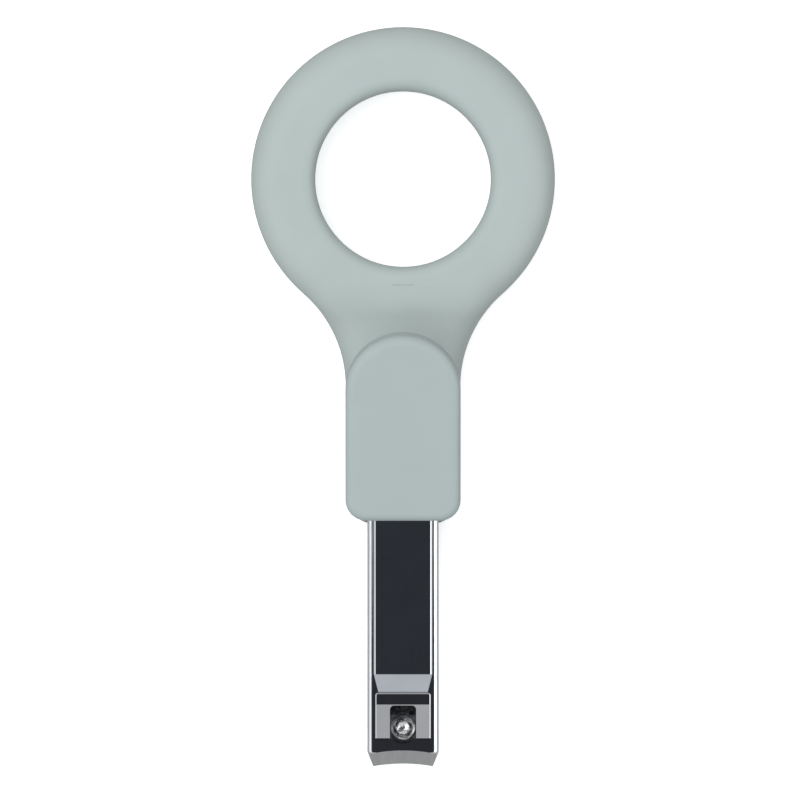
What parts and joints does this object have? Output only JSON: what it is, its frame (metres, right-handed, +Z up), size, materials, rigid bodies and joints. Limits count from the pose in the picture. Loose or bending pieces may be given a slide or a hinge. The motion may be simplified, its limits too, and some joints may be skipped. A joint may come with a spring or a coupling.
{
  "type": "lever nail clipper",
  "caption": "Lever nail clipper with a round finger-ring handle, sprung steel cutting arms, and a swivelling fork-ended lever under a plastic thumb pad.",
  "frame": {"origin": "under the middle of the whole outline, on the surface the clipper lies on", "axes": "+Y along the length towards the finger ring, -Y towards the jaws, +Z up through the lever, +X across"},
  "size_m": [0.0434, 0.1056, 0.0257],
  "materials": {
    "sage_plastic": "matte",
    "sage_plastic_pad": "matte",
    "chrome_steel": "polished",
    "pin_steel": "satin"
  },
  "bodies": {
    "handle": {"handle_front_shell": "sage_plastic", "handle_back_shell": "sage_plastic", "rear_eyelet": "pin_steel"},
    "lower_arm": {"lower_arm": "chrome_steel"},
    "upper_arm": {"upper_arm": "chrome_steel"},
    "pin": {"pivot_pin": "pin_steel"},
    "lever": {"lever": "chrome_steel", "thumb_pad_cover": "sage_plastic_pad", "thumb_pad_base": "sage_plastic_pad"}
  },
  "joints": [
    {"name": "lower_arm_flex", "type": "hinge", "parent": "handle", "child": "lower_arm", "pos_m": [0, -0.0054, 0.0056], "axis": [-1, 0, 0], "range_deg": [0, 0.9]},
    {"name": "upper_arm_flex", "type": "hinge", "parent": "handle", "child": "upper_arm", "pos_m": [0, -0.0054, 0.0056], "axis": [1, 0, 0], "range_deg": [0, 0.9]},
    {"name": "lever_swivel", "type": "hinge", "parent": "lower_arm", "child": "pin", "pos_m": [0, -0.0472, 0.0124], "axis": [0, 0, 1], "continuous": true},
    {"name": "lever_press", "type": "hinge", "parent": "pin", "child": "lever", "pos_m": [0, -0.0472, 0.0124], "axis": [-1, 0, 0], "range_deg": [0, 12.4], "stiffness_Nm_per_rad": 0.9, "springref_deg": -5.73}
  ],
  "couplings": [
    {"joint": "lower_arm_flex", "follows": "lever_press", "ratio": 0.07202},
    {"joint": "upper_arm_flex", "follows": "lever_press", "ratio": 0.07202}
  ]
}
